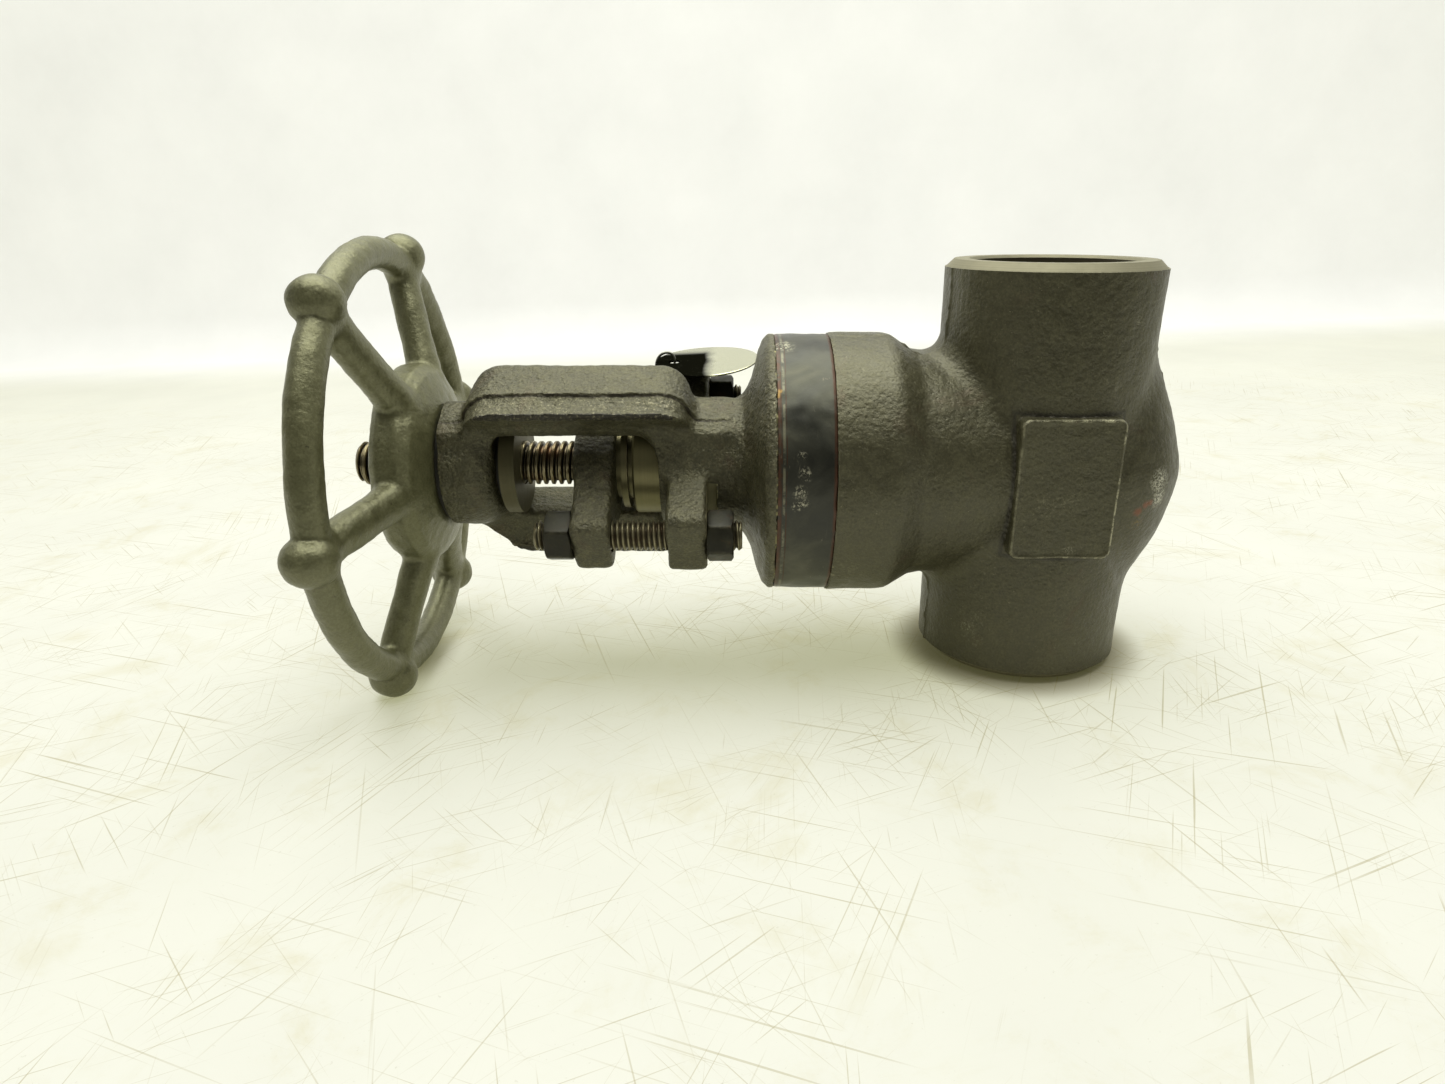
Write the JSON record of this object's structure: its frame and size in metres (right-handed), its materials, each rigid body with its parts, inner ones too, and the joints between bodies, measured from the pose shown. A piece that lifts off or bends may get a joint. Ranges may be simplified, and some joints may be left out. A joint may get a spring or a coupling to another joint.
{
  "type": "gate valve",
  "caption": "Forged steel gate valve with welded bonnet, outside screw and yoke, rising stem, spoked handwheel and socket-weld pipe ends.",
  "frame": {"origin": "centre of the inlet socket's mouth, on the flow axis", "axes": "+Z along the flow axis from the inlet socket to the outlet socket; -X along the stem towards the handwheel; -Y out of the marking pad"},
  "size_m": [0.265, 0.153, 0.143],
  "materials": {
    "forged_body": "forged, manganese phosphate coat, fine pebbled texture",
    "forged_bonnet": "forged, manganese phosphate coat, trimmed flash line",
    "weld_band": "ground weld cap, blued and oiled",
    "wheel_casting": "fine cast, phosphate coat",
    "stainless_trim": "machined and lapped",
    "stem_steel": "rolled thread, oiled",
    "gland_metal": "machined, dull olive tarnish",
    "gland_forging": "forged, phosphate coat",
    "black_oxide": "black oxide with light rust on edges",
    "nut_bronze": "machined bronze, tarnished",
    "dark_washer": "oiled steel",
    "graphite": "die-formed graphite",
    "tag_stainless": "bright rolled sheet",
    "wire_stainless": "drawn wire"
  },
  "bodies": {
    "valve": {"valve_body": "forged_body", "seat_ring_inlet": "stainless_trim", "seat_ring_outlet": "stainless_trim", "bonnet_yoke": "forged_bonnet", "bonnet_weld": "weld_band", "backseat_bushing": "stainless_trim", "packing_ring_1": "graphite", "packing_ring_2": "graphite", "packing_ring_3": "graphite", "packing_ring_4": "graphite", "packing_ring_5": "graphite", "gland_studs": "black_oxide", "lug_nuts": "black_oxide", "thrust_washer": "dark_washer", "wheel_washer": "dark_washer", "tag_wire": "wire_stainless"},
    "wheel": {"handwheel": "wheel_casting", "yoke_nut": "nut_bronze", "wheel_nut": "black_oxide"},
    "stem_gate": {"stem": "stem_steel", "gate_wedge": "stainless_trim"},
    "gland": {"gland_follower": "gland_metal", "gland_flange": "gland_forging"},
    "nut_front": {"gland_nut_front": "black_oxide"},
    "nut_back": {"gland_nut_back": "black_oxide"},
    "tag": {"id_tag": "tag_stainless"}
  },
  "joints": [
    {"name": "wheel_spin", "type": "hinge", "parent": "valve", "child": "wheel", "pos_m": [-0.2086, 0, 0.0635], "axis": [-1, 0, 0], "range_deg": [0, 5040]},
    {"name": "stem_slide", "type": "slide", "parent": "valve", "child": "stem_gate", "axis": [-1, 0, 0], "range_m": [0, 0.0356]},
    {"name": "gland_slide", "type": "slide", "parent": "valve", "child": "gland", "axis": [-1, 0, 0], "range_m": [0, 0.0025]},
    {"name": "gland_nut_front_spin", "type": "hinge", "parent": "gland", "child": "nut_front", "pos_m": [-0.149, -0.02674, 0.04743], "axis": [-1, 0, 0], "range_deg": [0, 567.2]},
    {"name": "gland_nut_back_spin", "type": "hinge", "parent": "gland", "child": "nut_back", "pos_m": [-0.149, 0.02674, 0.07957], "axis": [-1, 0, 0], "range_deg": [0, 567.2]},
    {"name": "tag_swing", "type": "hinge", "parent": "valve", "child": "tag", "pos_m": [-0.1174, 0.02, 0.0929], "axis": [0, -1, 0], "range_deg": [0, 35]}
  ],
  "couplings": [
    {"joint": "stem_slide", "follows": "wheel_spin", "m_per_rad": 0.00040425},
    {"joint": "gland_nut_front_spin", "follows": "gland_slide", "rad_per_m": 3957.9},
    {"joint": "gland_nut_back_spin", "follows": "gland_slide", "rad_per_m": 3957.9}
  ]
}
